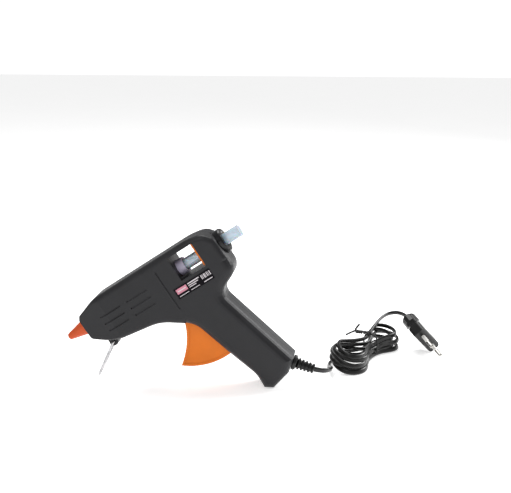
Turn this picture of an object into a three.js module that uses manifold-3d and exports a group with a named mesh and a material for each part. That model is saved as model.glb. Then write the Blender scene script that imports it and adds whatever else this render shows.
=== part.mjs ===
// A 60 W hot-melt glue gun for 11 mm sticks, standing on its wire stand and the foot of its grip,
// with its flat mains cord folded into a tied hank beside it. Millimetres, +Z up, table at z = 0.
//
// The gun is drawn lying along its barrel: s runs from the nozzle tip to the rear, n is square to
// it (up), and y is across, with the left side at -y. The group "gun" then turns it nose down.
import * as THREE from 'three';
import { mergeVertices } from 'three/addons/utils/BufferGeometryUtils.js';
import Module from 'manifold-3d';

const wasm = await Module();
wasm.setup();

// Driving dimensions
const TILT = THREE.MathUtils.degToRad(33.6); // nose down, when it stands on its wire stand
const STANDING_MIDDLE = 118.75; // from the nozzle tip to the middle of the standing gun
const FOOT_HEEL = [146.2, -142.5]; // rear edge of the flat foot of the grip, in s and n
const FOOT_LENGTH = 9;
const HALF_WIDTH = 17;
const NOSE_FACE = 24;
const NOSE_HALF_WIDTH = 13.5;
const WALL = 2.2;
const SEAM = 0.15; // half the joint line between the two housing halves
const BARREL_EDGE = 5; // rounding of the barrel's long edges
const GRIP_EDGE = 8;
const STICK_R = 5.6;
const STICK_SPAN = [56, 201];
const WINDOW = { s: [132.5, 160], n: [-9.3, 15] };
const LABEL = { s: [121, 160.5], n: [-22.8, -12.5] };
const COLLAR_R = 12;
const REAR_FACE = 180.6;
const REAR_WALL = [176.5, REAR_FACE]; // solid, and counterbored for the collar's outer flange
const TRIGGER_PIVOT = [122.5, -27.7];
const TRIGGER_R = 66; // from the pivot to the arc of the trigger's lower edge
const TRIGGER_HALF = 8;
const ARM_R = 14.8; // from the pivot to the link pin
const ARM_ANGLE = THREE.MathUtils.degToRad(78);
const LUG = [38, -25.4];
const LUG_R = 4.5;
const WIRE_R = 1.25;
const STAND_TIP_S = 3.6;
const RELIEF = { at: [172.2, -132.5], out: [0.63, -0.78], length: 20.6 };
const CORD_R = 2.5; // a flat 3.2 x 5 mm two-core cord, drawn round
const SCREWS = [[56, 14.2], [56, -21.2], [119, 14.2], [171, -23.6], [149, -101], [148, -127]];
const PLUG_PIN = { radius: 2, length: 19, sleeve: 10, spacing: 18.6 };

// Heights above the table follow from the foot's heel, which stands on it.
const RISE = -(FOOT_HEEL[0] * Math.sin(TILT) + FOOT_HEEL[1] * Math.cos(TILT));

// ---- solids -------------------------------------------------------------------------------
function solid(geometry) {
  const bare = new THREE.BufferGeometry();
  bare.setAttribute('position', geometry.getAttribute('position').clone());
  if (geometry.index) bare.setIndex(geometry.index.clone());
  const merged = mergeVertices(bare, 1e-4);
  const corners = merged.getAttribute('position');
  const triangles = [];
  let volume = 0;
  const [a, b, c] = [new THREE.Vector3(), new THREE.Vector3(), new THREE.Vector3()];
  for (let i = 0; i < merged.index.count; i += 3) {
    const [p, q, r] = [0, 1, 2].map((k) => merged.index.getX(i + k));
    if (p === q || q === r || r === p) continue;
    a.fromBufferAttribute(corners, p);
    b.fromBufferAttribute(corners, q);
    c.fromBufferAttribute(corners, r);
    volume += a.dot(b.cross(c));
    triangles.push([p, q, r]);
  }
  const facing = volume < 0 ? triangles.map(([p, q, r]) => [p, r, q]) : triangles;
  return new wasm.Manifold(new wasm.Mesh({
    numProp: 3,
    vertProperties: new Float32Array(corners.array),
    triVerts: new Uint32Array(facing.flat()),
  }));
}

function geometryOf(manifold) {
  const { vertProperties, triVerts } = manifold.getMesh();
  const geometry = new THREE.BufferGeometry();
  geometry.setAttribute('position', new THREE.BufferAttribute(vertProperties, 3));
  geometry.setIndex(new THREE.BufferAttribute(triVerts, 1));
  return geometry;
}

const join = (...pieces) => pieces.reduce((all, piece) => all.add(piece));

const cut = (body, ...tools) => tools.reduce((left, tool) => left.subtract(tool), body);

function box(s, y, n) {
  const geometry = new THREE.BoxGeometry(s[1] - s[0], y[1] - y[0], n[1] - n[0]);
  return solid(geometry.translate((s[0] + s[1]) / 2, (y[0] + y[1]) / 2, (n[0] + n[1]) / 2));
}

// A round bar across the gun.
function crossBar([s, n], radius, y, sides = 20) {
  const geometry = new THREE.CylinderGeometry(radius, radius, y[1] - y[0], sides);
  return solid(geometry.translate(s, (y[0] + y[1]) / 2, n));
}

// A turned piece on the barrel's axis, from its [radius, s] profile.
function turned(profile, sides = 28) {
  const points = profile.map(([radius, s]) => new THREE.Vector2(radius, s));
  return solid(new THREE.LatheGeometry(points, sides).rotateZ(-Math.PI / 2));
}

// A closed outline from corners [s, n, trim], where trim is how far a rounding reaches.
function outline(corners) {
  const shape = new THREE.Shape();
  const points = corners.map(([s, n]) => new THREE.Vector2(s, n));
  corners.forEach(([, , trim = 0], i) => {
    const corner = points[i];
    const toward = (other) => other.clone().sub(corner).setLength(trim).add(corner);
    const start = trim ? toward(points.at(i - 1)) : corner;
    if (i === 0) shape.moveTo(start.x, start.y);
    else shape.lineTo(start.x, start.y);
    if (!trim) return;
    const end = toward(points[(i + 1) % points.length]);
    shape.quadraticCurveTo(corner.x, corner.y, end.x, end.y);
  });
  return shape;
}

// A flat piece of an outline in s and n, from one y to another.
function plate(shape, y, curveSegments = 5) {
  const geometry = new THREE.ExtrudeGeometry(shape, {
    depth: y[1] - y[0], bevelEnabled: false, curveSegments,
  });
  return solid(geometry.rotateX(Math.PI / 2).translate(0, y[1], 0));
}

// The same with rounded edges, half each side of y = 0, and inset all over by a wall.
function pillow(shape, half, edge, inset = 0) {
  const geometry = new THREE.ExtrudeGeometry(shape, {
    depth: 2 * (half - edge),
    bevelThickness: edge - inset,
    bevelSize: edge - inset,
    bevelOffset: -edge,
    bevelSegments: 5,
    curveSegments: 5,
  });
  return solid(geometry.rotateX(Math.PI / 2).translate(0, half - edge, 0));
}

// A wire or cord along a smooth curve through points.
function wire(points, radius, steps, sides = 8, closed = false) {
  const section = new THREE.Shape();
  for (let i = 0; i < sides; i += 1) {
    const angle = (2 * Math.PI * i) / sides;
    const [x, y] = [radius * Math.cos(angle), radius * Math.sin(angle)];
    if (i === 0) section.moveTo(x, y);
    else section.lineTo(x, y);
  }
  const path = new THREE.CatmullRomCurve3(points.map((p) => new THREE.Vector3(...p)), closed);
  return solid(new THREE.ExtrudeGeometry(section, {
    steps, bevelEnabled: false, extrudePath: path,
  }));
}

function finish(color, roughness, metalness = 0) {
  return new THREE.MeshStandardMaterial({ color, roughness, metalness });
}

const FINISHES = {
  housing: finish(0x3c3c40, 0.5),
  blackRubber: finish(0x1a1a1c, 0.45),
  orange: finish(0xe8792a, 0.45),
  orangeSilicone: finish(0xdf5527, 0.5),
  lilacSilicone: finish(0xc3bfd0, 0.5),
  glue: finish(0xdfe6ea, 0.25),
  steel: finish(0xc9c9cc, 0.25, 1),
  brass: finish(0xb8923f, 0.3, 1),
  aluminium: finish(0xb4b6b8, 0.4, 1),
  ceramic: finish(0x5a5752, 0.7),
  label: finish(0x17141a, 0.35),
  whiteNylon: finish(0xe6e6e2, 0.5),
};

function part(name, manifold, look) {
  const mesh = new THREE.Mesh(geometryOf(manifold), FINISHES[look]);
  mesh.name = name;
  return mesh;
}

// ---- housing ------------------------------------------------------------------------------
const footToe = [
  FOOT_HEEL[0] - FOOT_LENGTH * Math.cos(TILT),
  FOOT_HEEL[1] + FOOT_LENGTH * Math.sin(TILT),
];

const barrelOutline = outline([
  [NOSE_FACE, -11.5, 3], [36.5, -20.6, 4], [47.5, -26.1, 6], [90.5, -32.2, 10], [111, -46],
  [150, -34], [REAR_FACE, -14], [REAR_FACE - 0.6, 7.6, 3], [172, 17.4, 5], [157, 20.4, 8],
  [48.2, 20.4, 7], [26.8, 13.3], [NOSE_FACE, 9.4],
]);

const gripOutline = outline([
  [109, -44], [118.6, -53.5, 6], [129.8, -92.5, 12], [139.6, -123, 6], footToe,
  FOOT_HEEL, [166.2, -137.3], [178.2, -127.6], [155.3, -38.5, 10],
  [REAR_FACE + 0.3, -27.4, 9], [REAR_FACE, -4], [150, 2], [104, -18],
]);

// Seen from above, the barrel narrows towards the nose.
function noseTaper(inset) {
  const shape = new THREE.Shape();
  const [wide, narrow] = [HALF_WIDTH + 1 - inset, NOSE_HALF_WIDTH - inset];
  shape.moveTo(10, -narrow);
  [[NOSE_FACE, -narrow], [52, -HALF_WIDTH + inset], [64, -wide], [240, -wide],
    [240, wide], [64, wide], [52, HALF_WIDTH - inset], [NOSE_FACE, narrow], [10, narrow],
  ].forEach(([s, y]) => shape.lineTo(s, y));
  const geometry = new THREE.ExtrudeGeometry(shape, { depth: 240, bevelEnabled: false });
  return solid(geometry.translate(0, 0, -190));
}

function shell() {
  const skin = join(
    pillow(barrelOutline, HALF_WIDTH, BARREL_EDGE),
    pillow(gripOutline, HALF_WIDTH, GRIP_EDGE),
  ).intersect(noseTaper(0));
  const hollow = join(
    pillow(barrelOutline, HALF_WIDTH, BARREL_EDGE, WALL),
    pillow(gripOutline, HALF_WIDTH, GRIP_EDGE, WALL),
  ).intersect(noseTaper(WALL));
  const rearWall = box(REAR_WALL, [-20, 20], [-13, 30]);
  return cut(skin, cut(hollow, rearWall));
}

const INNER = HALF_WIDTH - WALL + 0.2; // ribs and bosses reach into the side walls this far

// Walls round the window, which carry on to the rear as the rails of the carriage.
function windowWalls() {
  const [front, back] = WINDOW.s;
  const [low, high] = WINDOW.n;
  const y = [-INNER, INNER];
  const reach = [front - 2, REAR_FACE - 5];
  return join(
    cut(box([front - 2, front], y, [low - 1.5, high + 1.5]), turned([[0, 120], [8.4, 120], [8.4, 136], [0, 136]])),
    box([front - 2, CARRIAGE.s[1]], y, [high, high + 1.5]),
    cut(box(reach, y, [low - 1.5, low]), box([back - 4, back + 21], [-6.4, 6.4], [low - 2, low + 1])),
  );
}

function grooves() {
  const cutters = [];
  [[45.5, 68.6], [76.2, 99.4]].forEach((span, group) => {
    [1.5, -6, -13.5].forEach((n) => {
      const middle = n - 0.3 * group;
      [-1, 1].forEach((side) => {
        const depth = group ? 0.8 : 1.4;
        const y = [side * (HALF_WIDTH - depth), side * (HALF_WIDTH + 1)].sort((a, b) => a - b);
        cutters.push(box(span, y, [middle - 0.8, middle + 0.8]));
      });
    });
  });
  [-1, 1].forEach((side) => {
    const y = [side * (HALF_WIDTH - 0.7), side * (HALF_WIDTH + 1)].sort((a, b) => a - b);
    cutters.push(box([115.2, 116.8], y, [-31, 10]));
  });
  return cutters;
}

// The mouth in the front of the grip that the trigger swings through.
function triggerSlot() {
  const [from, to] = [229.5, 303].map(THREE.MathUtils.degToRad);
  const shape = new THREE.Shape();
  shape.moveTo(...TRIGGER_PIVOT);
  shape.lineTo(111, -31);
  shape.lineTo(106.5, -46);
  shape.absarc(...TRIGGER_PIVOT, TRIGGER_R + 1, from, to, false);
  return plate(shape, [-TRIGGER_HALF - 0.5, TRIGGER_HALF + 0.5], 12);
}

function reliefFrame() {
  const frame = new THREE.Object3D();
  frame.position.set(RELIEF.at[0], 0, RELIEF.at[1]);
  frame.rotation.y = Math.atan2(-RELIEF.out[1], RELIEF.out[0]);
  frame.updateMatrix();
  return frame;
}

// Moves a solid drawn along +s from 0 to the cord's outlet, pointing out of the grip.
function atOutlet(manifold) {
  return solid(geometryOf(manifold).applyMatrix4(reliefFrame().matrix));
}

const CLAMP_SCREWS = [-6.4, 6.4].map((across) => [
  RELIEF.at[0] - RELIEF.out[0] * 14 - RELIEF.out[1] * across,
  RELIEF.at[1] - RELIEF.out[1] * 14 + RELIEF.out[0] * across,
]);

function housingHalf(side) {
  const keep = side < 0 ? [-40, -SEAM] : [SEAM, 40];
  const half = (y) => (side < 0 ? [-y[1], -y[0]] : y);
  const bosses = [
    ...SCREWS.map((at) => crossBar(at, 3.4, half([SEAM, INNER]), 16)),
    crossBar(TRIGGER_PIVOT, 4.5, half([8.7, INNER]), 16),
    crossBar(LUG, LUG_R, half([SEAM, 6]), 16),
    box([34, 42], half([SEAM, 6]), [-25.4, -18.6]),
    box([94, 96], half([9.5, INNER]), [-9, 9]),
  ];
  const body = join(shell(), windowWalls()).intersect(box([0, 240], keep, [-190, 60]));
  const ends = side < 0 ? [-13, 1] : [-1, 20];
  const seat = COLLAR_R + 0.4;
  const holes = [
    box(WINDOW.s, [-30, 30], WINDOW.n),
    turned([[0, 10], [9, 10], [9, 31], [0, 31]]),
    turned([
      [0, 170], [10.9, 170], [10.9, 174.7], [seat, 174.7], [seat, REAR_WALL[0]],
      [10.9, REAR_WALL[0]], [10.9, 178.2], [seat, 178.2], [seat, 200], [0, 200],
    ]),
    atOutlet(turned([[0, -8], [4.6, -8], [4.6, 4], [0, 4]])),
    crossBar(TRIGGER_PIVOT, 2.3, half([5, 13.5]), 16),
    crossBar(LUG, WIRE_R + 0.35, half([2.6, 8]), 12),
    ...SCREWS.map((at) => crossBar(at, 1.7, ends, 12)),
    ...(side > 0 ? SCREWS.map((at) => crossBar(at, 3.1, [14, 20], 16)) : []),
    ...grooves(),
    triggerSlot(),
  ];
  const ribbed = join(body, ...bosses);
  if (side > 0) return cut(ribbed, ...holes);
  const anchors = CLAMP_SCREWS.map((at) => crossBar(at, 2.6, [-INNER, 2.4], 12));
  const pilots = CLAMP_SCREWS.map((at) => crossBar(at, 1.3, [-6, 3], 10));
  const [a, b] = [LABEL.s, LABEL.n];
  const recess = box([a[0] - 0.4, a[1] + 0.4], [-18, -HALF_WIDTH + 0.5], [b[0] - 0.4, b[1] + 0.4]);
  return cut(join(ribbed, ...anchors), ...holes, ...pilots, recess);
}

function housingScrew([s, n]) {
  return join(
    crossBar([s, n], 2.7, [14.4, 16.5], 16),
    crossBar([s, n], 1.35, [-11, 14.4], 12),
  );
}

// ---- nozzle, heater and feed --------------------------------------------------------------
function nozzle() {
  return turned([
    [0.9, 0], [1.9, 0], [2.6, 4], [5.2, 21], [6.8, 21.4], [6.8, 26.6], [5, 26.8], [5, 39],
    [3.2, 39], [2.4, 18], [0.9, 9], [0.9, 0],
  ]);
}

function nozzleCover() {
  return turned([
    [2.4, 0.6], [3.1, 0.8], [3.5, 1.8], [8.2, 23], [8.6, 30], [7.2, 30],
    [7.2, 20.9], [5.6, 20.7], [3, 4], [2.4, 2.2], [2.4, 0.6],
  ]);
}

function heatingChamber() {
  const casting = join(
    turned([
      [0, 32], [8.6, 32], [9, 33], [9, 104], [7, 104], [7, 110], [7.5, 110.4], [7.5, 112], [0, 112],
    ]),
    box([46, 98], [-8, 8], [-17, -4]),
  );
  const bore = turned([[0, 20], [5.4, 20], [5.4, 39.4], [6, 42], [6, 120], [0, 120]]);
  return cut(casting, bore, box([42, 102], [-6, 6], [-15.3, -10.2]));
}

function heaterClamp() {
  const channel = box([64, 80], [-8.9, 8.9], [-18, -4.6]);
  return cut(channel, box([62, 82], [-8.3, 8.3], [-17.3, 0]));
}

function feedSleeve() {
  return turned([
    [7.8, 104.4], [9.6, 104.4], [9.6, 113], [7.9, 116], [7.9, 140], [6.2, 140], [6.2, 112.4],
    [7.8, 112.4], [7.8, 104.4],
  ]);
}

function rearCollar() {
  return turned([
    [6.5, 175], [COLLAR_R, 175], [COLLAR_R, 176.1], [10.5, 176.2], [10.5, 178.5],
    [COLLAR_R, 178.6], [COLLAR_R, 183.6], [11.3, 185], [8.4, 185.3], [6.5, 184.1], [6.5, 175],
  ], 36);
}

function glueStick() {
  return turned([[0, STICK_SPAN[0]], [3, STICK_SPAN[0]], [STICK_R, STICK_SPAN[0] + 4],
    [STICK_R, STICK_SPAN[1]], [0, STICK_SPAN[1]]], 24);
}

// ---- trigger and feed mechanism -----------------------------------------------------------
const linkPin = [
  TRIGGER_PIVOT[0] + ARM_R * Math.cos(ARM_ANGLE),
  TRIGGER_PIVOT[1] + ARM_R * Math.sin(ARM_ANGLE),
];
const CARRIAGE = { s: [157.6, 168.4], pin: [166.2, linkPin[1]] };

function around(degrees, radius) {
  const angle = THREE.MathUtils.degToRad(degrees);
  return [
    TRIGGER_PIVOT[0] + radius * Math.cos(angle),
    TRIGGER_PIVOT[1] + radius * Math.sin(angle),
  ];
}

// The finger blade; inset leaves its rim, and open runs the hollow out through its back.
function bladeOutline(inset, open) {
  const shape = new THREE.Shape();
  const radius = TRIGGER_R - inset;
  const back = open ? 296 : 284;
  shape.moveTo(...around(open ? 300 : 90, open ? 9 : 3));
  shape.lineTo(112.5 + inset * 1.4, -34 - inset);
  shape.lineTo(109 + inset * 1.2, -45 - inset * 0.4);
  shape.quadraticCurveTo(101.5 + inset * 1.2, -65 - inset * 0.2, ...around(231.7 + inset, radius));
  const [from, to] = [231.7 + inset, back].map(THREE.MathUtils.degToRad);
  shape.absarc(...TRIGGER_PIVOT, radius, from, to, false);
  return shape;
}

function trigger() {
  const half = TRIGGER_HALF;
  const blade = plate(bladeOutline(0, false), [-half, half], 10);
  const hollow = plate(bladeOutline(2.4, true), [-half + 2.4, half - 2.4], 10);
  const rims = [[-half - 1, -half + 0.5], [half - 0.5, half + 1]].map((y) => (
    plate(bladeOutline(2.2, false), y, 10).intersect(box([60, 140], [-20, 20], [-120, -42]))
  ));
  const hub = crossBar(TRIGGER_PIVOT, 6, [-half, half], 20);
  const arm = outline([
    [linkPin[0] - 3.2, linkPin[1] + 3.2, 2.4], [linkPin[0] - 3.8, -29], [linkPin[0] + 2.4, -29],
    [linkPin[0] + 3.2, linkPin[1] + 3.2, 2.4],
  ]);
  const arms = [[-5.8, -3.2], [3.2, 5.8]].map((y) => plate(arm, y, 4));
  return cut(
    join(cut(blade, hollow, ...rims), hub, ...arms),
    crossBar(TRIGGER_PIVOT, 2.35, [-20, 20], 16),
    crossBar(linkPin, 1.65, [-20, 20], 12),
  );
}

function feedLink() {
  const [front, back] = [linkPin, CARRIAGE.pin];
  const bar = join(
    box([front[0], back[0]], [-2.6, 2.6], [front[1] - 2, front[1] + 2]),
    crossBar(front, 3.3, [-2.6, 2.6], 18),
    crossBar(back, 3.3, [-2.6, 2.6], 18),
  );
  return cut(bar, crossBar(front, 2, [-9, 9], 12), crossBar(back, 1.65, [-9, 9], 12));
}

function carriage() {
  const [front, back] = CARRIAGE.s;
  const ears = [[-5.8, -3.2], [3.2, 5.8]].map((y) => (
    box([CARRIAGE.pin[0] - 3.2, CARRIAGE.pin[0] + 3.2], y, [-18, -7])
  ));
  const block = box([front, back], [-13.6, 13.6], [WINDOW.n[0] + 0.5, WINDOW.n[1] - 0.5]);
  const hinge = [-1, 1].map((side) => {
    const y = [7, 9.4].map((v) => v * side).sort((a, b) => a - b);
    return box([back - 1, 174.6], y, [WINDOW.n[0] + 0.5, -4.5]);
  });
  return cut(
    join(block, ...ears, ...hinge),
    turned([[0, 140], [6.4, 140], [6.4, 180], [0, 180]]),
    crossBar(CARRIAGE.pin, 1.65, [-9, 9], 12),
  );
}

function stickGripper() {
  const tablet = outline([
    [171.2, -8, 0.8], [173.6, -8, 0.8], [173.6, 11, 0.8], [171.2, 11, 0.8],
  ]);
  return cut(plate(tablet, [-6.7, 6.7], 3), turned([[0, 160], [6.3, 160], [6.3, 180], [0, 180]]));
}

// A tension spring along s: five open turns on one helix.
function returnSpring() {
  const points = [];
  const [start, length, turns, radius] = [170, 7.8, 5, 1.6];
  for (let i = 0; i <= turns * 10; i += 1) {
    const angle = (2 * Math.PI * i) / 10;
    const along = start + (length * i) / (turns * 10);
    points.push([along, radius * Math.cos(angle), -15.4 + radius * Math.sin(angle)]);
  }
  return wire(points, 0.4, turns * 11, 6);
}

// ---- stand --------------------------------------------------------------------------------
function standWire() {
  const tipN = (WIRE_R - RISE - STAND_TIP_S * Math.sin(TILT)) / Math.cos(TILT);
  const along = (share, y) => [
    LUG[0] + share * (STAND_TIP_S - LUG[0]), y, LUG[1] + share * (tipN - LUG[1]),
  ];
  const leg = [
    along(0, 3.2), along(0, 4.8), along(0, 6.5), along(0.045, 7.9), along(0.13, 7.9),
    along(0.5, 5.4), along(0.88, 2.9), along(0.97, 1.9),
  ];
  const other = leg.map(([s, y, n]) => [s, -y, n]).reverse();
  return wire([...leg, along(1, 0), ...other], WIRE_R, 54, 8);
}

// ---- cord inside the grip -----------------------------------------------------------------
function strainRelief() {
  const rings = [];
  for (let i = 0; i < 5; i += 1) {
    const start = 5.4 + i * 3.5;
    const [big, small] = [5.7 - i * 0.24, 4.2 - i * 0.14];
    rings.push([small, start], [big, start + 0.2], [big, start + 2], [small, start + 2.2]);
  }
  const { length } = RELIEF;
  return atOutlet(turned([
    [0, -6.6], [6, -6.6], [6, -3.4], [4.2, -3.2], [4.2, 0.3], [7.3, 0.5], [7.3, 3.6], [6.2, 4.4],
    ...rings, [3.4, length - 0.2], [0, length],
  ], 20));
}

function cordTail() {
  return atOutlet(box([-22, -7], [-2.6, 2.6], [-1.7, 1.7]));
}

function cordClamp() {
  const bar = atOutlet(box([-17.2, -10.8], [2.9, 5.3], [-9, 9]));
  return cut(bar, ...CLAMP_SCREWS.map((at) => crossBar(at, 1.7, [0, 8], 10)));
}

function clampScrew(at) {
  return join(crossBar(at, 2.3, [5.6, 7], 12), crossBar(at, 1, [-5, 5.6], 10));
}

function heaterLead(side) {
  const route = [
    [157.6, 1.4, -114.2], [155.6, 4, -109], [156, 9, -100], [159, 11, -92], [159, 11.4, -80],
    [153, 11.4, -60], [147, 11.4, -44], [137, 11.4, -29], [126, 11.4, -18.6], [113, 9, -17.8],
    [105, 4.4, -15.6], [100.8, 3, side < 0 ? -12 : -15.4],
  ];
  return wire(route.map(([s, y, n]) => [s, side * y, n]), 0.9, 40, 6);
}

// ---- cord on the table --------------------------------------------------------------------
// Each stretch of cord is a list of points laid by hand, in the frame of the whole object.
const CORD_LEAD = [
  [118, 0, 16.4], [123, 0.6, 14.8], [128, 3.4, 13.4], [132, 9, 12.2], [134.2, 17, 11.2],
  [134.4, 29, 10.2],
];
const CORD_TAIL = [
  [172.4, 95.5, 25.3], [175, 103.5, 26], [179.6, 117, 27.2], [185.6, 129, 28.4],
  [193.6, 138, 29.4], [201.4, 140, 30], [207.5, 136.9, 29.7], [210.72, 130.95, 27.66],
];

// The hank seen from above: two lobes of turns, tied at a waist between them.
const HANK = { center: [166, 75], turn: 60, height: 22, waist: 12, waistHalf: 10 };
const LOBES = { left: { at: -33, radius: 21 }, right: { at: 40, radius: 16 } };

function onHank(manifold) {
  const frame = new THREE.Object3D();
  frame.position.set(...HANK.center, 0);
  frame.rotation.z = THREE.MathUtils.degToRad(HANK.turn);
  frame.updateMatrix();
  return solid(geometryOf(manifold).applyMatrix4(frame.matrix));
}

function hank() {
  const { height, waist, waistHalf } = HANK;
  const { left, right } = LOBES;
  const shape = new THREE.Shape();
  shape.absarc(left.at, 0, left.radius, 0.28 * Math.PI, 1.72 * Math.PI, false);
  shape.quadraticCurveTo(waist - 14, -waistHalf, waist, -waistHalf);
  shape.quadraticCurveTo(waist + 8, -waistHalf, waist + 16, -14);
  shape.absarc(right.at, 0, right.radius, -0.6 * Math.PI, 0.6 * Math.PI, false);
  shape.quadraticCurveTo(waist + 8, waistHalf, waist, waistHalf);
  shape.quadraticCurveTo(waist - 14, waistHalf, left.at + 13.4, 16.2);
  const geometry = new THREE.ExtrudeGeometry(shape, {
    depth: height, bevelEnabled: false, curveSegments: 10,
  });
  return onHank(solid(geometry.translate(0, 0, 0.3)));
}

// A wire tie over the waist of the hank, its two ends twisted together beside it.
function cordTie() {
  const { height, waist, waistHalf } = HANK;
  const [side, top] = [waistHalf + 1.6, height + 1.6];
  const band = wire([
    [waist, -side, 1], [waist, -side, 10], [waist, -side, top - 3], [waist, -side + 1.4, top - 0.2],
    [waist, -side + 5, top], [waist, side - 5, top], [waist, side - 1.4, top - 0.2],
    [waist, side, top - 3], [waist, side, 10], [waist, side, 1],
  ], 0.6, 24, 6);
  const ends = [[[-12, 14, 30.4], [-9, 15, 33.6]], [[-19, 14, 27.6], [-25, 16, 27]]].map((last) => wire([
    [waist, 5, top], [waist - 7, 8, top + 0.8], [waist - 14, 11, top + 2.4],
    [waist - 20, 13, top + 4.4], ...last,
  ], 0.6, 7, 6));
  return onHank(join(band, ...ends));
}

// ---- plug ---------------------------------------------------------------------------------
// Drawn with its face across s = 0, pins towards +s, then set down leaning on one pin.
const PLUG = {
  face: [230, 95, 15.3],
  pins: new THREE.Vector3(0.452, -0.844, -0.29).normalize(),
  across: new THREE.Vector3(0.53, 0.515, -0.674),
  length: 42,
  half: 6.85,
};

function atPlug(manifold) {
  const depth = new THREE.Vector3().crossVectors(PLUG.across, PLUG.pins).normalize();
  const across = new THREE.Vector3().crossVectors(PLUG.pins, depth);
  const frame = new THREE.Matrix4().makeBasis(PLUG.pins, depth, across);
  frame.setPosition(...PLUG.face);
  return solid(geometryOf(manifold).applyMatrix4(frame));
}

function plugBody() {
  const { length, half } = PLUG;
  const sides = [
    [0, 17.6], [-13, 17.6], [-26, 6.4], [5 - length, 6.4],
    [5 - length, -6.4], [-26, -6.4], [-13, -17.6], [0, -17.6],
  ];
  const block = pillow(outline(sides), half, 3.2);
  const knob = turned([
    [0, -length], [5.6, -length], [8, 3 - length], [8, 12 - length], [6, 14.6 - length],
    [0, 14.6 - length],
  ], 12);
  return atPlug(join(block, knob));
}

function plugPin(side) {
  const { radius, length, sleeve, spacing } = PLUG_PIN;
  const pin = turned([
    [0, 0.3], [1.1, 0.3], [1.1, sleeve + 0.3], [radius, sleeve + 0.3], [radius, length - 0.8],
    [1.3, length], [0, length],
  ], 12);
  return atPlug(pin.translate(0, 0, (side * spacing) / 2));
}

function plugSleeve(side) {
  const { radius, sleeve, spacing } = PLUG_PIN;
  const [inner, outer] = [1.4, radius - 0.1];
  const tube = turned([[inner, 0.3], [outer, 0.3], [outer, sleeve], [inner, sleeve], [inner, 0.3]], 12);
  return atPlug(tube.translate(0, 0, (side * spacing) / 2));
}

// ---- assembly -----------------------------------------------------------------------------
const gun = new THREE.Group();
gun.rotation.y = -TILT;
gun.position.set(-STANDING_MIDDLE, 0, RISE);
gun.add(
  part('housing_left', housingHalf(-1), 'housing'),
  part('housing_right', housingHalf(1), 'housing'),
  ...SCREWS.map((at, i) => part(`housing_screw_${i + 1}`, housingScrew(at), 'steel')),
  part('nozzle', nozzle(), 'brass'),
  part('nozzle_cover', nozzleCover(), 'orangeSilicone'),
  part('heating_chamber', heatingChamber(), 'aluminium'),
  part('heater_element', box([52, 90], [-5, 5], [-13.7, -11.5]), 'ceramic'),
  part('heater_contact_upper', box([50, 100], [-5, 5], [-11.1, -10.6]), 'brass'),
  part('heater_contact_lower', box([50, 100], [-5, 5], [-14.7, -14.1]), 'brass'),
  part('heater_clamp', heaterClamp(), 'steel'),
  part('feed_sleeve', feedSleeve(), 'lilacSilicone'),
  part('sleeve_clip', turned([[9.9, 107], [11, 107], [11, 109], [9.9, 109], [9.9, 107]]), 'steel'),
  part('glue_stick', glueStick(), 'glue'),
  part('rear_collar', rearCollar(), 'blackRubber'),
  part('feed_carriage', carriage(), 'orange'),
  part('stick_gripper', stickGripper(), 'blackRubber'),
  part('feed_link', feedLink(), 'orange'),
  part('link_pin_front', crossBar(linkPin, 1.35, [-6, 6], 12), 'steel'),
  part('link_pin_rear', crossBar(CARRIAGE.pin, 1.35, [-6, 6], 12), 'steel'),
  part('trigger', trigger(), 'orange'),
  part('trigger_pin', crossBar(TRIGGER_PIVOT, 2, [-13.2, 13.2], 16), 'steel'),
  part('return_spring', returnSpring(), 'steel'),
  part('stand_wire', standWire(), 'steel'),
  part('rating_label', box(LABEL.s, [-16.95, -16.75], LABEL.n), 'label'),
  part('strain_relief', strainRelief(), 'blackRubber'),
  part('cord_inner', cordTail(), 'blackRubber'),
  part('cord_clamp', cordClamp(), 'whiteNylon'),
  ...CLAMP_SCREWS.map((at, i) => part(`cord_clamp_screw_${i + 1}`, clampScrew(at), 'steel')),
  part('heater_lead_left', heaterLead(-1), 'whiteNylon'),
  part('heater_lead_right', heaterLead(1), 'whiteNylon'),
);

const group = new THREE.Group();
group.add(
  gun,
  part('cord_lead', wire(CORD_LEAD, CORD_R, 8), 'blackRubber'),
  part('cord_hank', hank(), 'blackRubber'),
  part('cord_tail', wire(CORD_TAIL, CORD_R, 14), 'blackRubber'),
  part('cord_tie', cordTie(), 'blackRubber'),
  part('plug_body', plugBody(), 'blackRubber'),
  ...[-1, 1].map((side, i) => part(`plug_pin_${i + 1}`, plugPin(side), 'steel')),
  ...[-1, 1].map((side, i) => part(`plug_sleeve_${i + 1}`, plugSleeve(side), 'whiteNylon')),
);

export default group;
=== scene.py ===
# A hot-melt glue gun on its wire stand, with its mains cord folded into a tied hank beside it.
# The gun is drawn along its barrel, in millimetres: s from the nozzle tip to the rear, n square
# to it and up, y across with the left side at -y. at_gun() turns that into the standing frame.
# The cord, the hank and the tie are drawn in the standing frame itself, also in millimetres.
import math

import bmesh
import bpy
from mathutils import Matrix, Vector


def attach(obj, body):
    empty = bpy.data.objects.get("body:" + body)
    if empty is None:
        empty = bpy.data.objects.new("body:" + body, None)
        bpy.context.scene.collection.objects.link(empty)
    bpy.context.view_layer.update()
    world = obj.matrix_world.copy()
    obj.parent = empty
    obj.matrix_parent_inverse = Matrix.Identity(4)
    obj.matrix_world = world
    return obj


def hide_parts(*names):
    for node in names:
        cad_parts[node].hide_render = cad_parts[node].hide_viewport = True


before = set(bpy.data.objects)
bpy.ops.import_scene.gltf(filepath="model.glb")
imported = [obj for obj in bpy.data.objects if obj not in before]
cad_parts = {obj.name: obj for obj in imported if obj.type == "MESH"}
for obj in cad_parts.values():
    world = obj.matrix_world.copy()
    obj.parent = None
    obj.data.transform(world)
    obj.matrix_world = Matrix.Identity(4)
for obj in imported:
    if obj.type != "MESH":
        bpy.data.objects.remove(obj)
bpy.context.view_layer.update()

MM = 0.001
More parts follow.
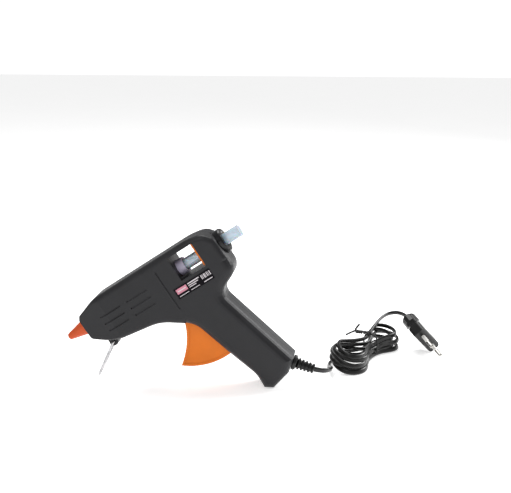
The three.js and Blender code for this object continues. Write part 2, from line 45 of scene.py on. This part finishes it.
TILT = math.radians(33.6)  # of the barrel above the table
STANDING_MIDDLE = 118.75  # from the nozzle tip to the middle of the standing gun
HEEL = (146.2, -142.5)  # rear edge of the flat foot of the grip, in s and n
RISE = -(HEEL[0] * math.sin(TILT) + HEEL[1] * math.cos(TILT))
LABEL_S, LABEL_N = (121, 160.5), (-22.8, -12.5)
RELIEF_AT, RELIEF_OUT, RELIEF_LENGTH = (172.2, -132.5), (0.63, -0.78), 20.6
SCREWS = ((56, 14.2), (56, -21.2), (119, 14.2), (171, -23.6), (149, -101), (148, -127))

GUN = Matrix.Translation((-STANDING_MIDDLE, 0, RISE)) @ Matrix.Rotation(-TILT, 4, "Y")


def at_gun(points):
    """Points (s, y, n) of the gun in the row frame, in millimetres."""
    return [GUN @ Vector(p) for p in points]


# ---- camera and studio ----------------------------------------------------------------------
camera = bpy.data.objects.new("camera", bpy.data.cameras.new("camera"))
bpy.context.scene.collection.objects.link(camera)
camera.location = (0.161, -0.7976, 0.3341)
camera.rotation_euler = (math.radians(76), 0, math.radians(7))
camera.data.sensor_width = 36
camera.data.lens = 63.4
camera.data.clip_end = 20
bpy.context.scene.camera = camera


def area_light(name, place, aim, size, power, color=(1, 1, 1)):
    data = bpy.data.lights.new(name, "AREA")
    data.shape = "DISK"
    data.size = size
    data.energy = power
    data.color = color
    lamp = bpy.data.objects.new(name, data)
    bpy.context.scene.collection.objects.link(lamp)
    lamp.location = place
    lamp.rotation_euler = (Vector(aim) - Vector(place)).to_track_quat("-Z", "Y").to_euler()


area_light("key", (-0.5, -1.1, 1.2), (0, 0, 0.05), 0.9, 5)
area_light("rear_right", (1.0, 0.75, 0.75), (0.06, 0, 0.07), 0.8, 18)
area_light("top", (-0.1, 0.5, 1.3), (0.02, 0, 0.08), 0.8, 10)

LIGHTING_LEVEL, SEEN_LEVEL = 0.42, 1.05
world = bpy.data.worlds.new("studio")
bpy.context.scene.world = world
world.use_nodes = True
# Seen directly the studio is white; it lights the object with a softer level.
backdrop = world.node_tree.nodes["Background"]
backdrop.inputs["Color"].default_value = (1, 1, 1, 1)
sight = world.node_tree.nodes.new("ShaderNodeLightPath")
level = world.node_tree.nodes.new("ShaderNodeMapRange")
level.inputs["To Min"].default_value = LIGHTING_LEVEL
level.inputs["To Max"].default_value = SEEN_LEVEL
world.node_tree.links.new(sight.outputs["Is Camera Ray"], level.inputs["Value"])
world.node_tree.links.new(level.outputs["Result"], backdrop.inputs["Strength"])
bpy.context.scene.view_settings.view_transform = "Standard"


# ---- materials ------------------------------------------------------------------------------
GLOSS_DRIFT = 0.07  # how far the roughness wanders either way
GRAIN_DEPTH = 0.0004  # metres


def material(name, color, rough, metal=0.0, grain=900, bump=0.08, vary=0.12, patch=60, **shader):
    """A surface whose colour and roughness drift over patches, with a fine moulded or cast grain."""
    made = bpy.data.materials.new(name)
    made.use_nodes = True
    nodes, links = made.node_tree.nodes, made.node_tree.links
    bsdf = nodes["Principled BSDF"]
    place = nodes.new("ShaderNodeTexCoord")
    drift = nodes.new("ShaderNodeTexNoise")
    drift.inputs["Scale"].default_value = patch
    drift.inputs["Detail"].default_value = 6
    links.new(place.outputs["Object"], drift.inputs["Vector"])
    tone = nodes.new("ShaderNodeValToRGB")
    tone.color_ramp.elements[0].position = 0.3
    tone.color_ramp.elements[1].position = 0.7
    tone.color_ramp.elements[0].color = (*[c * (1 - vary) for c in color], 1)
    tone.color_ramp.elements[1].color = (*[min(1, c * (1 + vary)) for c in color], 1)
    links.new(drift.outputs["Fac"], tone.inputs["Fac"])
    links.new(tone.outputs["Color"], bsdf.inputs["Base Color"])
    gloss = nodes.new("ShaderNodeMapRange")
    gloss.inputs["To Min"].default_value = max(0.03, rough - GLOSS_DRIFT)
    gloss.inputs["To Max"].default_value = min(1, rough + GLOSS_DRIFT)
    links.new(drift.outputs["Fac"], gloss.inputs["Value"])
    links.new(gloss.outputs["Result"], bsdf.inputs["Roughness"])
    fine = nodes.new("ShaderNodeTexNoise")
    fine.inputs["Scale"].default_value = grain
    fine.inputs["Detail"].default_value = 4
    links.new(place.outputs["Object"], fine.inputs["Vector"])
    relief = nodes.new("ShaderNodeBump")
    relief.inputs["Strength"].default_value = bump
    relief.inputs["Distance"].default_value = GRAIN_DEPTH
    links.new(fine.outputs["Fac"], relief.inputs["Height"])
    links.new(relief.outputs["Normal"], bsdf.inputs["Normal"])
    bsdf.inputs["Metallic"].default_value = metal
    for socket, value in shader.items():
        bsdf.inputs[socket.replace("_", " ")].default_value = value
    return made


HOUSING = material("charcoal_plastic", (0.017, 0.017, 0.019), 0.42, grain=1500, bump=0.2, vary=0.1,
                   Specular_IOR_Level=0.27)
ORANGE = material("orange_plastic", (0.74, 0.175, 0.009), 0.38, grain=1100, bump=0.08, vary=0.05,
                  Specular_IOR_Level=0.25)
SILICONE = material("orange_silicone", (0.55, 0.075, 0.012), 0.44, grain=700, bump=0.1, vary=0.07,
                    Specular_IOR_Level=0.25)
LILAC = material("lilac_silicone", (0.52, 0.48, 0.62), 0.45, grain=600, bump=0.08, vary=0.06)
GLOSS_BLACK = material("gloss_black", (0.005, 0.005, 0.006), 0.24, grain=500, bump=0.04, vary=0.2,
                       Specular_IOR_Level=0.35)
PVC = material("black_pvc", (0.004, 0.004, 0.004), 0.3, grain=800, bump=0.08, vary=0.25,
               Specular_IOR_Level=0.4)
GLUE = material(
    "glue", (0.60, 0.71, 0.80), 0.2, grain=260, bump=0.12, vary=0.06,
    Transmission_Weight=0.35, IOR=1.48, Subsurface_Weight=0.35, Subsurface_Scale=0.004,
)
STEEL = material("bright_steel", (0.66, 0.66, 0.68), 0.2, metal=1, grain=1800, bump=0.05, vary=0.1)
ZINC = material("zinc_wire", (0.50, 0.50, 0.51), 0.24, metal=1, grain=1800, bump=0.08, vary=0.25,
                patch=220)
NICKEL = material("nickel_plate", (0.36, 0.35, 0.33), 0.22, metal=1, grain=1600, bump=0.05, vary=0.2)
BRASS = material("brass", (0.62, 0.43, 0.17), 0.27, metal=1, grain=1400, bump=0.06, vary=0.14)
CAST = material("cast_aluminium", (0.56, 0.56, 0.58), 0.42, metal=1, grain=900, bump=0.3, vary=0.12)
CERAMIC = material("ceramic", (0.09, 0.08, 0.07), 0.7, grain=900, bump=0.2, vary=0.2)
FILM = material("label_film", (0.006, 0.005, 0.007), 0.3, grain=300, bump=0.03, vary=0.2,
                Specular_IOR_Level=0.05)
INK = material("label_ink", (0.62, 0.58, 0.60), 0.35, grain=900, bump=0.05, vary=0.06)
PINK_INK = material("label_pink_ink", (0.60, 0.22, 0.30), 0.35, grain=900, bump=0.05, vary=0.08)
NYLON = material("white_nylon", (0.74, 0.73, 0.70), 0.4, grain=900, bump=0.06, vary=0.05)
BRAID = material("glass_braid", (0.70, 0.68, 0.60), 0.75, grain=2400, bump=0.5, vary=0.12)
TIE = material("tie_wire", (0.012, 0.012, 0.012), 0.5, grain=1500, bump=0.2, vary=0.3)

PAPER = material("paper", (0.95, 0.95, 0.95), 0.85, grain=500, bump=0.02, vary=0.01, patch=6,
                 Emission_Color=(1, 1, 1, 1), Emission_Strength=0.5)
paper = bpy.data.meshes.new("paper")
paper.from_pydata([(-4, -3, 0), (4, -3, 0), (4, 5, 0), (-4, 5, 0)], [], [(0, 1, 2, 3)])
paper.materials.append(PAPER)
floor = bpy.data.objects.new("floor", paper)
bpy.context.scene.collection.objects.link(floor)


# ---- mesh tools -----------------------------------------------------------------------------
BEVEL_ANGLE, SHARP_ANGLE = math.radians(35), math.radians(34)
FLAT_ANGLE = math.radians(1)


def add_mesh(name, points, faces, look, slot, body="gun", in_gun=True):
    """A piece from points in millimetres, riding on a body."""
    mesh = bpy.data.meshes.new(name)
    placed = at_gun(points) if in_gun else [Vector(p) for p in points]
    mesh.from_pydata([p * MM for p in placed], [], faces)
    mesh.materials.append(look)
    piece = bpy.data.objects.new(name, mesh)
    bpy.context.scene.collection.objects.link(piece)
    tidy_normals(piece)
    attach(piece, body)
    return piece


def tidy_normals(piece):
    """Joins points that meet and turns every face outwards."""
    soup = bmesh.new()
    soup.from_mesh(piece.data)
    bmesh.ops.remove_doubles(soup, verts=soup.verts, dist=1e-7)
    bmesh.ops.recalc_face_normals(soup, faces=soup.faces)
    soup.to_mesh(piece.data)
    soup.free()


def soften(piece, edge):
    """Rounds the edges of a piece by edge millimetres, with shading that keeps its flats flat."""
    if edge:
        bevel = piece.modifiers.new("edges", "BEVEL")
        bevel.width = edge * MM
        bevel.segments = 2
        bevel.limit_method = "ANGLE"
        bevel.angle_limit = BEVEL_ANGLE
    for polygon in piece.data.polygons:
        polygon.use_smooth = True
    mark_sharp(piece.data)
    weigh = piece.modifiers.new("shading", "WEIGHTED_NORMAL")
    weigh.keep_sharp = True
    return piece


def mark_sharp(mesh):
    """Marks the edges that stay crisp in the shading."""
    soup = bmesh.new()
    soup.from_mesh(mesh)
    for edge in soup.edges:
        if len(edge.link_faces) == 2 and edge.calc_face_angle() > SHARP_ANGLE:
            edge.smooth = False
    soup.to_mesh(mesh)
    soup.free()


def lathe(profile, place, sides=64):
    """Points and faces of a turned piece. profile is (radius, along), place(x, y, along)."""
    points, faces = [], []
    for radius, along in profile:
        for i in range(sides):
            angle = 2 * math.pi * i / sides
            points.append(place(radius * math.cos(angle), radius * math.sin(angle), along))
    count = len(profile)
    for k in range(count - 1):
        for i in range(sides):
            j = (i + 1) % sides
            faces.append((k * sides + i, k * sides + j, (k + 1) * sides + j, (k + 1) * sides + i))
    faces.append(tuple(range(sides)))
    faces.append(tuple(range((count - 1) * sides, count * sides)))
    return points, faces


def at_outlet(x, y, along):
    """A point on the axis of the cord's outlet: along it, x across the gun, y square to both."""
    length = math.hypot(*RELIEF_OUT)
    out = (RELIEF_OUT[0] / length, RELIEF_OUT[1] / length)
    return (
        RELIEF_AT[0] + out[0] * along - out[1] * y, x, RELIEF_AT[1] + out[1] * along + out[0] * y,
    )


def catmull(points, steps):
    """A smooth run through points, with steps between each two."""
    points = [Vector(p) for p in points]
    padded = [points[0] * 2 - points[1], *points, points[-1] * 2 - points[-2]]
    run = []
    for a, b, c, d in zip(padded, padded[1:], padded[2:], padded[3:]):
        for k in range(steps):
            t = k / steps
            run.append(0.5 * (2 * b + (c - a) * t + (2 * a - 5 * b + 4 * c - d) * t * t
                              + (3 * b - a - 3 * c + d) * t ** 3))
    return run + [points[-1]]


def sweep(path, section, upright):
    """Points and faces of a section (across, up) carried along a path without twisting."""
    up = Vector(upright)
    points, faces = [], []
    sides = len(section)
    for i, here in enumerate(path):
        ahead = (path[min(i + 1, len(path) - 1)] - path[max(i - 1, 0)]).normalized()
        up = (up - ahead * up.dot(ahead)).normalized()
        side = ahead.cross(up)
        points += [here + side * x + up * z for x, z in section]
    for i in range(len(path) - 1):
        for k in range(sides):
            j = (k + 1) % sides
            faces.append((i * sides + k, i * sides + j, (i + 1) * sides + j, (i + 1) * sides + k))
    faces.append(tuple(range(sides)))
    faces.append(tuple(range(len(points) - sides, len(points))))
    return points, faces


def ring(radius, sides):
    """A round section for sweep."""
    return [(radius * math.cos(2 * math.pi * k / sides), radius * math.sin(2 * math.pi * k / sides))
            for k in range(sides)]


# ---- cord -----------------------------------------------------------------------------------
# Two cores side by side make a flat cord, 5 mm by 3.2 mm, with a groove between the cores.
CORD_WIDTH, CORD_THICK = 5.0, 3.2
GROOVE_DEPTH, GROOVE_WIDTH = 0.2, 0.6  # a share of the thickness, and millimetres
CORD_LEAD = (
    (118, 0, 16.4), (123, 0.6, 14.8), (128, 3.4, 13.4), (132, 9, 12), (134.2, 17, 10.2),
    (134.2, 27, 7),
)
CORD_TAIL = (
    (172.4, 95.5, 24.6), (175.6, 105, 25.8), (179.6, 116, 27.2), (184.4, 127, 28.6),
    (191, 136.4, 29.8), (200.4, 139.8, 30.4), (207.4, 136.6, 29.4), (210.72, 130.95, 27.66),
)
# The hank lies along a line through its centre: a runs along that line and b across it.
HANK_CENTER, HANK_TURN = (166, 75), math.radians(60)
WAIST = 12  # where the tie goes round it, along a
LEFT_MOUTH, RIGHT_MOUTH = (-9, 8.6), (WAIST + 11, 6.8)  # where a turn leaves each lobe
WAIST_START, WAIST_END = WAIST - 5, WAIST + 3
# Each turn: centre a and b, radius and height of its left lobe, the same of its right one, and
# how far out and how high its two passes through the waist lie.
TURNS = (
    ((-33, 0, 19.2, 3.0), (40, -0.6, 14.4, 3.0), (5.2, 3.0)),
    ((-29, 1.5, 16.4, 7.0), (36, 1.6, 13, 8.0), (1.8, 3.0)),
    ((-34.5, -1.2, 17.4, 11.2), (41.6, -1.4, 13.2, 12.4), (5.2, 8.2)),
    ((-28, 0.8, 18.4, 15.4), (34, 1, 13, 16.4), (1.8, 8.2)),
    ((-32, -0.6, 15.6, 19.0), (39, -0.4, 12.6, 20.0), (3.2, 13.4)),
)
LAST_LOBE = (-25, 0, 14.6, 21.6)  # the half turn on top, which leads to the tail


def on_hank(a, b, z):
    """A point of the hank: a along it, b across it."""
    c, s = math.cos(HANK_TURN), math.sin(HANK_TURN)
    return (HANK_CENTER[0] + a * c - b * s, HANK_CENTER[1] + a * s + b * c, z)


def on_lobe(lobe, angles):
    """Points of a lobe, which lies a little higher on the far side where it has turns below."""
    a, b, radius, height = lobe
    points = []
    for degrees in angles:
        angle = math.radians(degrees)
        lift = min(2.6, height - 2.8) * math.sin(angle)
        points.append(
            on_hank(a + radius * math.cos(angle), b + radius * math.sin(angle), height + lift))
    return points


def through_waist(side, left_height, right_height, column, row):
    """One pass through the waist from the left lobe to the right one, on the far side or near."""
    return [
        on_hank(LEFT_MOUTH[0], side * LEFT_MOUTH[1], (left_height + row) / 2),
        on_hank(WAIST_START, side * column, row),
        on_hank(WAIST_END, side * column, row),
        on_hank(RIGHT_MOUTH[0], side * RIGHT_MOUTH[1], (row + right_height) / 2),
    ]


def hank_turns():
    """Five turns, each out along the far side and back along the near one, through the waist."""
    points = []
    next_lobes = [turn[0] for turn in TURNS[1:]] + [LAST_LOBE]
    for (left, right, (column, row)), next_lobe in zip(TURNS, next_lobes):
        far = through_waist(1, left[3], right[3], column, row)
        near = through_waist(-1, left[3], right[3], column, row)
        points += on_lobe(left, (142, 110, 78)) + far
        points += on_lobe(right, (104, 70, 35, 0, -35, -70, -104)) + near[::-1]
        points += on_lobe(left, (-78, -110, -142))
        between = [(here + there) / 2 for here, there in zip(left, next_lobe)]
        points += on_lobe(between, (180,))
    points += on_lobe(LAST_LOBE, (138, 100))
    return points + [on_hank(-14, 10.6, 21), on_hank(-2, 5, 19.8), on_hank(WAIST - 2, 2, 20)]


def relaxed(path, spacing, rounds):
    """The path evenly spaced, its kinks eased out as a springy cord would, with its ends held."""
    even, gone = [path[0]], 0.0
    for a, b in zip(path, path[1:]):
        step = (b - a).length
        while gone + step >= spacing * len(even):
            even.append(a.lerp(b, (spacing * len(even) - gone) / step))
        gone += step
    even[-1] = path[-1]
    straight = (path[-1] - path[-2]).normalized()
    even[-2] = path[-1] - straight * spacing
    for _ in range(rounds):
        even = even[:2] + [
            (a + 2 * b + c) / 4 for a, b, c in zip(even[1:], even[2:], even[3:])
        ] + even[-2:]
    return even


route = [*CORD_LEAD, *hank_turns(), *CORD_TAIL]
cord_path = relaxed(catmull(route, 6), 2, 14)
flat_section = []
for k in range(20):
    angle = 2 * math.pi * k / 20
    x = CORD_THICK / 2 * math.cos(angle)
    z = CORD_WIDTH / 2 * math.sin(angle)
    flat_section.append((x * (1 - GROOVE_DEPTH * math.exp(-((z / GROOVE_WIDTH) ** 2))), z))
cord = add_mesh("mains_cord", *sweep(cord_path, flat_section, (0, 0, 1)), PVC, "cord_pvc",
                in_gun=False)
soften(cord, edge=0)
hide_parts("cord_lead", "cord_hank", "cord_tail")

# The tie: one turn round the waist, then its two ends twisted together and bent apart.
TIE_RADIUS, TWIST_RADIUS = 0.85, 1
LOOP_HALF_WIDTH, LOOP_HALF_HEIGHT, LOOP_MIDDLE = 8, 11.2, 12


def squared(value, power):
    """Pushes a sine or cosine towards its ends, so that a circle becomes a rounded box."""
    return math.copysign(abs(value) ** power, value)


loop = []
for k in range(28):
    angle = math.pi / 2 + 2 * math.pi * k / 28
    loop.append(on_hank(WAIST, LOOP_HALF_WIDTH * squared(math.cos(angle), 0.6),
                        LOOP_MIDDLE + LOOP_HALF_HEIGHT * squared(math.sin(angle), 0.8)))
stem_path = catmull([on_hank(WAIST, 0.4, 24.2), on_hank(WAIST - 6, 6, 25.6),
                     on_hank(WAIST - 10, 8.4, 26.8), on_hank(WAIST - 13.5, 9.8, 28)], 12)
strands = []
for phase in (0, math.pi):
    strand = []
    for i, p in enumerate(stem_path):
        turn = phase + i * 0.5
        strand.append(
            p + Vector((0.85 * math.cos(turn), 0.6 * math.sin(turn), 0.85 * math.sin(turn))))
    strands.append(strand)
strands[0] += [Vector(on_hank(-3, 9.4, 31)), Vector(on_hank(2, 8, 35))]
strands[1] += [Vector(on_hank(-8, 12, 28.2)), Vector(on_hank(-14, 14, 27))]
tie_points, tie_faces = sweep(catmull(loop + loop[:1], 3), ring(TIE_RADIUS, 10), (1, 0, 0))
for strand in strands:
    more, faces = sweep(catmull(strand, 2), ring(TWIST_RADIUS, 10), (0, 0, 1))
    tie_faces += [tuple(v + len(tie_points) for v in face) for face in faces]
    tie_points += more
tie = soften(add_mesh("twist_tie", tie_points, tie_faces, TIE, "cord_pvc", in_gun=False), edge=0)
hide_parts("cord_tie")

# The strain relief: a flange, then ridges that shrink towards its end, as (radius, along).
RIDGES, FIRST_RIDGE, RIDGE_PITCH = 5, 5.4, 3.5
relief_profile = [(4.2, 0.35), (6.9, 0.45), (7.3, 0.9), (7.3, 3.0), (6.9, 3.6), (5.9, 4.2),
                  (4.5, 4.9)]
for i in range(RIDGES):
    start = FIRST_RIDGE + i * RIDGE_PITCH
    big, small = 5.7 - i * 0.24, 4.2 - i * 0.14
    relief_profile += [(small, start - 0.1), (big - 0.35, start + 0.15), (big, start + 0.5),
                       (big, start + 1.7), (big - 0.35, start + 2.05), (small, start + 2.3)]
relief_profile += [(3.5, RELIEF_LENGTH - 0.2), (2.4, RELIEF_LENGTH)]
relief = add_mesh("cord_strain_relief", *lathe(relief_profile, at_outlet, 48), PVC, "cord_pvc")
soften(relief, edge=0)
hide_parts("strain_relief")

# ---- CAD nodes that stay: better surfaces ---------------------------------------------------
LOOKS = {
    HOUSING: ("housing_left", "housing_right"),
    STEEL: ("heater_clamp", "sleeve_clip", "link_pin_front", "link_pin_rear", "trigger_pin",
            "return_spring", "cord_clamp_screw_1", "cord_clamp_screw_2"),
    NICKEL: ("plug_pin_1", "plug_pin_2"),
    ZINC: ("stand_wire",),
    BRASS: ("nozzle", "heater_contact_upper", "heater_contact_lower"),
    SILICONE: ("nozzle_cover",),
    CAST: ("heating_chamber",),
    CERAMIC: ("heater_element",),
    LILAC: ("feed_sleeve",),
    GLUE: ("glue_stick",),
    GLOSS_BLACK: ("rear_collar", "stick_gripper"),
    ORANGE: ("trigger", "feed_carriage", "feed_link"),
    FILM: ("rating_label",),
    PVC: ("cord_inner", "plug_body", "strain_relief"),
    NYLON: ("plug_sleeve_1", "plug_sleeve_2", "cord_clamp"),
    BRAID: ("heater_lead_left", "heater_lead_right"),
}
for look, names in LOOKS.items():
    for name in names:
        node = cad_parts[name]
        for slot in node.material_slots:
            slot.material = look


def refine(name, edge):
    """Merges a node's flats, then rounds its edges by edge millimetres, all by modifiers."""
    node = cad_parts[name]
    flats = node.modifiers.new("flats", "DECIMATE")
    flats.decimate_type = "DISSOLVE"
    flats.angle_limit = FLAT_ANGLE
    soften(node, edge)


for name, edge in (("housing_left", 0.3), ("housing_right", 0.3), ("trigger", 0.35),
                   ("feed_carriage", 0.4), ("stick_gripper", 0.3), ("feed_link", 0.3),
                   ("rear_collar", 0.3), ("nozzle_cover", 0.2), ("nozzle", 0.2),
                   ("heating_chamber", 0.4), ("heater_clamp", 0.2), ("feed_sleeve", 0.2),
                   ("plug_body", 0.4), ("cord_clamp", 0.3)):
    refine(name, edge)
for name in ("glue_stick", "stand_wire", "return_spring", "heater_lead_left", "heater_lead_right",
             "trigger_pin", "link_pin_front", "link_pin_rear", "sleeve_clip", "plug_pin_1",
             "plug_pin_2", "plug_sleeve_1", "plug_sleeve_2"):
    soften(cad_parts[name], edge=0)


# ---- screws ---------------------------------------------------------------------------------
HEAD_RADIUS, HEAD_TOP, HEAD_CROWN = 2.7, 16.5, 0.55
HEAD_UNDER, SHANK_RADIUS, SHANK_END = 14.4, 1.35, -10
CROSS_HALF_WIDTH, CROSS_HALF_LENGTH, CROSS_DEPTH, CROSS_SLOPE = 0.42, 1.7, 0.9, 0.16


def screw_ring(s, y, n, radius, sides):
    """Points round the axis of a screw."""
    angles = [2 * math.pi * i / sides for i in range(sides)]
    return [(s + radius * math.cos(angle), y, n + radius * math.sin(angle)) for angle in angles]


def cross_screw(name, s, n):
    """A pan-head screw with a cross recess, its head facing the right of the gun."""
    sides, rings = 64, 18
    points, faces = [], []
    for k in range(rings + 1):
        radius = HEAD_RADIUS * k / rings
        top = HEAD_TOP - HEAD_CROWN * (radius / HEAD_RADIUS) ** 3
        for x, _, z in screw_ring(0, 0, 0, radius, sides):
            narrow, wide = sorted((abs(x), abs(z)))
            inside = min(CROSS_HALF_WIDTH - narrow, CROSS_HALF_LENGTH - wide)
            share = min(1, max(0, inside / CROSS_SLOPE))
            depth = CROSS_DEPTH * share * (1 - 0.35 * wide / CROSS_HALF_LENGTH)
            points.append((s + x, top - depth, n + z))
    for radius, y in ((HEAD_RADIUS, HEAD_UNDER), (SHANK_RADIUS, HEAD_UNDER - 0.1),
                      (SHANK_RADIUS, SHANK_END), (0.6, SHANK_END - 1)):
        points += screw_ring(s, y, n, radius, sides)
    for k in range(len(points) // sides - 1):
        for i in range(sides):
            j = (i + 1) % sides
            faces.append((k * sides + i, k * sides + j, (k + 1) * sides + j, (k + 1) * sides + i))
    faces.append(tuple(range(len(points) - sides, len(points))))
    screw = add_mesh(f"pan_{name}", points, faces, STEEL, "steel")
    soften(screw, edge=0)
    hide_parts(name)


for number, (s, n) in enumerate(SCREWS, start=1):
    cross_screw(f"housing_screw_{number}", s, n)


# ---- label ----------------------------------------------------------------------------------
LABEL_FACE = -16.95


def printed(name, marks, look, rise):
    """Printed blocks (s0, s1, n0, n1) standing a hair off the face of the label."""
    points, faces = [], []
    for s0, s1, n0, n1 in marks:
        start = len(points)
        points += [(s, y, n) for y in (LABEL_FACE + 0.02, LABEL_FACE - rise)
                   for s, n in ((s0, n0), (s1, n0), (s1, n1), (s0, n1))]
        faces += [tuple(start + k for k in face) for face in (
            (0, 1, 2, 3), (4, 5, 6, 7), (0, 1, 5, 4), (1, 2, 6, 5), (2, 3, 7, 6), (3, 0, 4, 7))]
    return add_mesh(name, points, faces, look, "label")


left, right = LABEL_S
low, high = LABEL_N
printed("label_badge", [(left + 1.2, left + 12.6, high - 6.2, high - 1.4)], PINK_INK, rise=0.05)
bars = [
    (left + 14.4, left + 27, high - 2.6, high - 1.5),
    (left + 14.4, left + 25, high - 4.4, high - 3.5),
    (left + 14.4, left + 22, high - 6.1, high - 5.3),
    (left + 1.4, left + 12, low + 1.3, low + 1.9),
    (left + 14.4, left + 24, low + 1.3, low + 1.9),
    (left + 2.4, left + 11.4, high - 4.2, high - 3.3),
]
block = right - 10.6
for k, width in enumerate((1.1, 0.6, 1.4, 0.6, 1.0, 0.6, 1.2)):
    start = block + k * 1.5
    bars.append((start, start + width * 0.8, high - 5.8, high - 1.6))
bars.append((block, right - 1.4, low + 1.2, low + 2.0))
printed("label_marks", bars, INK, rise=0.08)
